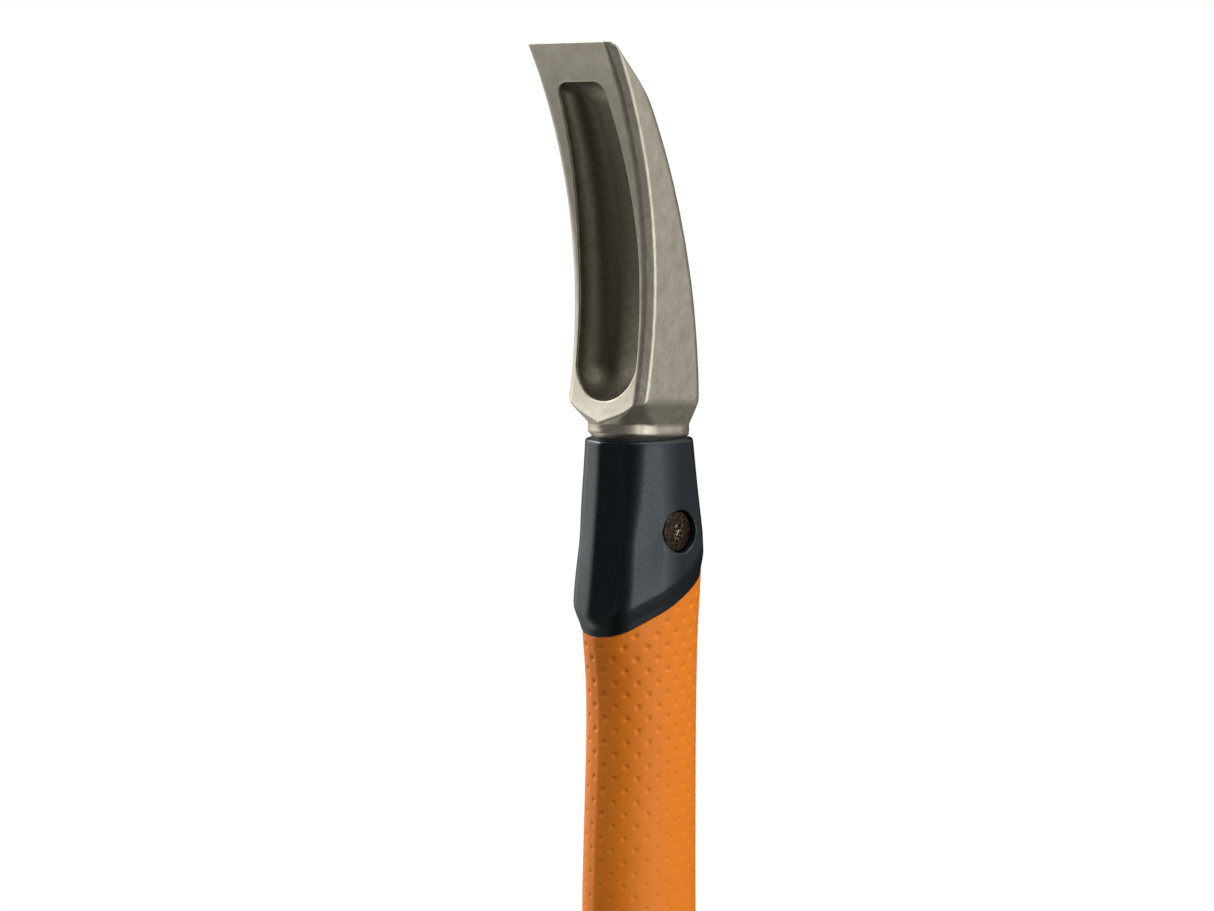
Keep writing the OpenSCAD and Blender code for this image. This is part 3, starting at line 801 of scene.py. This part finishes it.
def forged_steel():
    """Warm grey blasted steel, with painted shade that darkens the inside of the pocket."""
    m, tree, shader = material("forged_steel", (0.5, 0.46, 0.38), 0.42, 1.0)
    mottled = ramp(tree, noise(tree, 6.0, 4.0, 0.6), [
        (0.3, (0.50, 0.455, 0.37)), (0.7, (0.60, 0.555, 0.46))])
    # painted shade: darker steel colour inside the pocket, standing in for the shade that falls there
    painted_pocket_shade = ramp(tree, noise(tree, 1.5, 3.0, 0.6), [
        (0.3, (0.20, 0.178, 0.135)), (0.7, (0.25, 0.225, 0.175))])
    tree.links.new(mix(tree, stored(tree, "hollow"), mottled, painted_pocket_shade), shader.inputs["Base Color"])
    rough = ramp(tree, noise(tree, 1.6, 3.0, 0.6), [(0.3, 0.4), (0.7, 0.5)])
    tree.links.new(rough, shader.inputs["Roughness"])
    bump(tree, shader, [
        (noise(tree, 0.4, 3.0, 0.7), 0.65, 0.05),
        (noise(tree, 1.4, 2.0, 0.6), 0.15, 0.06),
    ])
    return m


def textured_plastic(name, dark, light, roughness):
    """Moulded plastic with a fine spark texture."""
    m, tree, shader = material(name, dark, roughness)
    shader.inputs["Specular Tint"].default_value = (0.82, 0.95, 1.0, 1)
    speck = ramp(tree, noise(tree, 0.3, 2.0, 0.7), [(0.5, dark), (0.78, light)])
    tree.links.new(speck, shader.inputs["Base Color"])
    uneven = ramp(tree, noise(tree, 0.45, 2.0, 0.6), [
        (0.3, roughness - 0.1), (0.7, roughness + 0.1)])
    tree.links.new(uneven, shader.inputs["Roughness"])
    bump(tree, shader, [
        (noise(tree, 0.35, 2.0, 0.7), 0.5, 0.045),
        (noise(tree, 5.0, 1.0), 0.2, 0.1),
    ])
    return m


def orange_grip():
    """Satin elastomer with a slightly cloudy colour."""
    m, tree, shader = material("orange_grip", (0.86, 0.235, 0.012), 0.5)
    shader.inputs["Specular IOR Level"].default_value = 0.3
    tone = ramp(tree, noise(tree, 14.0, 3.0, 0.55), [
        (0.3, (0.84, 0.218, 0.010)), (0.7, (0.88, 0.24, 0.014))])
    tree.links.new(tone, shader.inputs["Base Color"])
    rough = ramp(tree, noise(tree, 1.2, 3.0), [(0.3, 0.45), (0.7, 0.57)])
    tree.links.new(rough, shader.inputs["Roughness"])
    bump(tree, shader, [
        (noise(tree, 0.3, 2.0), 0.25, 0.03),
        (noise(tree, 7.0, 2.0), 0.3, 0.12),
    ])
    return m


def dark_oxide():
    """Blotchy brown-black oxide, flaked to bare steel where a piece is marked as worn."""
    m, tree, shader = material("black_oxide_steel", (0.045, 0.03, 0.022), 0.35, 1.0)
    blotch = ramp(tree, noise(tree, 1.3, 4.0, 0.7), [
        (0.35, (0.02, 0.013, 0.01)), (0.55, (0.07, 0.045, 0.03)), (0.72, (0.2, 0.15, 0.11))])
    flaked = add(tree, "ShaderNodeMath", operation="MULTIPLY")
    tree.links.new(stored(tree, "worn"), flaked.inputs[0])
    tree.links.new(noise(tree, 1.1, 2.0, 0.6), flaked.inputs[1])
    bare = ramp(tree, flaked.outputs["Value"], [(0.47, 0.0), (0.56, 1.0)])
    tree.links.new(mix(tree, bare, blotch, BARE_STEEL), shader.inputs["Base Color"])
    rough = ramp(tree, noise(tree, 0.8, 3.0, 0.6), [(0.3, 0.25), (0.7, 0.5)])
    tree.links.new(rough, shader.inputs["Roughness"])
    bump(tree, shader, [(noise(tree, 0.7, 3.0, 0.6), 0.5, 0.08)])
    return m


def bright_steel(name, colour, roughness):
    m, tree, shader = material(name, colour, roughness, 1.0)
    rough = ramp(tree, noise(tree, 1.0, 3.0, 0.6), [
        (0.3, roughness - 0.06), (0.7, roughness + 0.08)])
    tree.links.new(rough, shader.inputs["Roughness"])
    bump(tree, shader, [(noise(tree, 0.5, 2.0), 0.3, 0.02)])
    return m


def rubber():
    m, tree, shader = material("black_rubber", (0.012, 0.012, 0.012), 0.6)
    tone = ramp(tree, noise(tree, 3.0, 2.0), [(0.3, 0.008), (0.7, 0.018)])
    tree.links.new(tone, shader.inputs["Base Color"])
    bump(tree, shader, [(noise(tree, 0.4, 2.0), 0.3, 0.03)])
    return m


def composite():
    m, tree, shader = material("composite", (0.05, 0.05, 0.045), 0.5)
    strand = add(tree, "ShaderNodeTexWave", Scale=400.0, Distortion=3.0, Detail=2.0)
    tree.links.new(position(tree), strand.inputs["Vector"])
    tone = ramp(tree, strand.outputs["Fac"], [
        (0.2, (0.03, 0.03, 0.027)), (0.8, (0.075, 0.075, 0.065))])
    tree.links.new(tone, shader.inputs["Base Color"])
    bump(tree, shader, [(strand.outputs["Fac"], 0.2, 0.05)])
    return m


def foam():
    m, tree, shader = material("rigid_foam", (0.68, 0.62, 0.42), 0.9)
    cell = add(tree, "ShaderNodeTexVoronoi", Scale=1500.0)
    tree.links.new(position(tree), cell.inputs["Vector"])
    tone = ramp(tree, cell.outputs["Distance"], [
        (0.1, (0.5, 0.45, 0.3)), (0.7, (0.72, 0.66, 0.46))])
    tree.links.new(tone, shader.inputs["Base Color"])
    bump(tree, shader, [(cell.outputs["Distance"], 0.6, 0.2)])
    return m


# ---------- Stage ----------

PHOTO_AZIMUTH = 42.0
CAMERA_DISTANCE = 1000.0
CAMERA_ABOVE_COLLAR = 97.0
AIM_BELOW_COLLAR = 6.2
AXIS_OFF_CENTRE = 11.0
SENSOR, LENS = 36.0, 89.4
FLOOR_SIDES, FLOOR_RADIUS = 128, 1.2


def make_camera():
    """Camera at the photograph's angle: nearly level, aimed a little to the tool's left."""
    a = math.radians(PHOTO_AZIMUTH)
    toward = Vector((math.sin(a), -math.cos(a), 0))
    right = Vector((math.cos(a), math.sin(a), 0))
    data = bpy.data.cameras.new("camera")
    data.sensor_width = SENSOR
    data.lens = LENS
    data.clip_end = 20
    camera = bpy.data.objects.new("camera", data)
    eye = toward * CAMERA_DISTANCE - right * AXIS_OFF_CENTRE
    eye.z = COLLAR_Z + CAMERA_ABOVE_COLLAR
    aim = -right * AXIS_OFF_CENTRE
    aim.z = COLLAR_Z - AIM_BELOW_COLLAR
    camera.location = eye * MM
    camera.rotation_euler = (aim - eye).to_track_quat("-Z", "Y").to_euler()
    bpy.context.scene.collection.objects.link(camera)
    bpy.context.scene.camera = camera


# Soft light from far off: azimuth, elevation, spread in degrees, strength
GLOWS = [
    (-85, 40, 15, 11.5), (90, 60, 14, 4.0), (90, -10, 14, 2.9), (-50, 20, 14, 2.6), (-90, -60, 14, 2.5),
    (120, 40, 28, 1.9), (90, 10, 14, 1.1), (-88, 2, 14, 1.4), (-90, -35, 28, 0.5), (15, -10, 14, 0.3),
    (-30, -35, 20, 0.3), (120, -35, 28, 0.3),
]


def add_glow(tree, direction, azimuth, elevation, spread, strength, total):
    """Adds one glow's brightness to the total, and returns the new total."""
    a, e = math.radians(azimuth), math.radians(elevation)
    dot = add(tree, "ShaderNodeVectorMath", operation="DOT_PRODUCT")
    dot.inputs[1].default_value = (
        math.sin(a) * math.cos(e), -math.cos(a) * math.cos(e), math.sin(e))
    tree.links.new(direction, dot.inputs[0])
    sharp = math.log(2) / (1 - math.cos(math.radians(spread)))
    fall = add(tree, "ShaderNodeMath", operation="MULTIPLY_ADD")
    fall.inputs[1].default_value = sharp
    fall.inputs[2].default_value = -sharp
    tree.links.new(dot.outputs["Value"], fall.inputs[0])
    glow = add(tree, "ShaderNodeMath", operation="EXPONENT")
    tree.links.new(fall.outputs["Value"], glow.inputs[0])
    summed = add(tree, "ShaderNodeMath", operation="MULTIPLY_ADD")
    summed.inputs[1].default_value = strength
    summed.inputs[2].default_value = 0.0
    tree.links.new(glow.outputs["Value"], summed.inputs[0])
    if total is not None:
        tree.links.new(total, summed.inputs[2])
    return summed.outputs["Value"]


def make_world():
    """White to the camera, and soft round glows on a dim room to everything else."""
    world = bpy.data.worlds.new("studio")
    world.use_nodes = True
    bpy.context.scene.world = world
    tree = world.node_tree
    tree.nodes.clear()
    out = tree.nodes.new("ShaderNodeOutputWorld")
    shown = add(tree, "ShaderNodeBackground", Color=(1, 1, 1, 1), Strength=1.0)
    lit = add(tree, "ShaderNodeBackground", Color=(1, 1, 1, 1))
    direction = tree.nodes.new("ShaderNodeTexCoord").outputs["Generated"]
    total = None
    for glow in GLOWS:
        total = add_glow(tree, direction, *glow, total)
    tree.links.new(total, lit.inputs["Strength"])
    rays = tree.nodes.new("ShaderNodeLightPath")
    choice = tree.nodes.new("ShaderNodeMixShader")
    tree.links.new(rays.outputs["Is Camera Ray"], choice.inputs["Fac"])
    tree.links.new(lit.outputs["Background"], choice.inputs[1])
    tree.links.new(shown.outputs["Background"], choice.inputs[2])
    tree.links.new(choice.outputs["Shader"], out.inputs["Surface"])


def make_floor():
    """Round pale floor that ends behind the tool, below the photograph's frame."""
    m, tree, shader = material("floor", (0.86, 0.86, 0.86), 0.7)
    tone = ramp(tree, noise(tree, 60.0, 2.0), [(0.3, 0.85), (0.7, 0.88)])
    tree.links.new(tone, shader.inputs["Base Color"])
    turn = 2 * math.pi / FLOOR_SIDES
    ring = [(FLOOR_RADIUS * math.cos(turn * i), FLOOR_RADIUS * math.sin(turn * i), 0)
            for i in range(FLOOR_SIDES)]
    mesh = bpy.data.meshes.new("floor")
    mesh.from_pydata(ring, [], [list(range(FLOOR_SIDES))])
    floor = bpy.data.objects.new("floor", mesh)
    bpy.context.scene.collection.objects.link(floor)
    mesh.materials.append(m)
    floor.visible_diffuse = False
    floor.visible_glossy = False


# ---------- The scene ----------

make_camera()
make_world()
make_floor()
bpy.context.scene.view_settings.view_transform = "Standard"

COLLAR_DARK, COLLAR_SPECK = (0.003, 0.0045, 0.006), (0.022, 0.028, 0.034)
CAP_DARK, CAP_SPECK = (0.010, 0.012, 0.014), (0.04, 0.045, 0.05)

finishes = {
    "forged_steel": forged_steel(),
    "collar_plastic": textured_plastic("collar_plastic", COLLAR_DARK, COLLAR_SPECK, 0.31),
    "cap_plastic": textured_plastic("cap_plastic", CAP_DARK, CAP_SPECK, 0.45),
    "orange_grip": orange_grip(),
    "black_oxide_steel": dark_oxide(),
    "plain_steel": bright_steel("plain_steel", (0.5, 0.5, 0.48), 0.35),
    "eyelet_steel": bright_steel("eyelet_steel", (0.6, 0.6, 0.6), 0.28),
    "black_rubber": rubber(),
    "composite": composite(),
    "rigid_foam": foam(),
}
slot_of = {s["node"]: s["material_slot"] for s in frame["record"]["subparts"]}


def place(piece, node):
    """A piece that stands for a CAD node, with that node's finish."""
    piece.data.materials.clear()
    piece.data.materials.append(finishes[slot_of[node]])
    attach(piece, BODY)
    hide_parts(node)
    return piece


# Lowest and highest corners (x, fwd, z) of the space that each field is searched in
BLADE_BOX = (-21, -24, -1), (21, 41, BLADE_TOP + 1.5)
TANG_BOX = (-8, -14, -104), (8, 14, 5)
COLLAR_BOX = (-21, -26, -70), (21, 28, 1.5)
HEAD_OUT = BOLT_TOP + HEAD_RAISE + 1
BOLT_BOX = (BOLT_END - 1, -8, BOLT_Z - 8), (HEAD_OUT, 8, BOLT_Z + 8)
NUT_BOX = (-HEAD_OUT, -8, BOLT_Z - 8), (TUBE_HALF + 1, 8, BOLT_Z + 8)
CAP_BOX = (-20, -28, -1), (20, 28, 54)

blade = surface("blade", head_field, *BLADE_BOX, cell=0.48, lift=COLLAR_Z)
# the blade stores the pocket's painted shade as its hollow value
place(mark(blade, "hollow", pocket_shade_share), "blade_head")
place(surface("tang", tang_field, *TANG_BOX, cell=0.9, lift=COLLAR_Z), "blade_head")
place(surface("collar_shell", collar_field, *COLLAR_BOX, cell=0.5, lift=COLLAR_Z), "collar")
bolt = surface("bolt", bolt_field, *BOLT_BOX, cell=0.2, lift=COLLAR_Z)
place(mark(bolt, "worn", on_drive), "head_bolt")
place(surface("nut", nut_field, *NUT_BOX, cell=0.25, lift=COLLAR_Z), "barrel_nut")
place(surface("cap", cap_field, *CAP_BOX, cell=0.55), "butt_cap")
place(make_grip(), "grip_sleeve")
place(make_eyelet(), "hang_eyelet")
place(make_washer(), "eyelet_washer")

for node, part in frame["nodes"].items():
    part.data.materials.clear()
    part.data.materials.append(finishes[slot_of[node]])
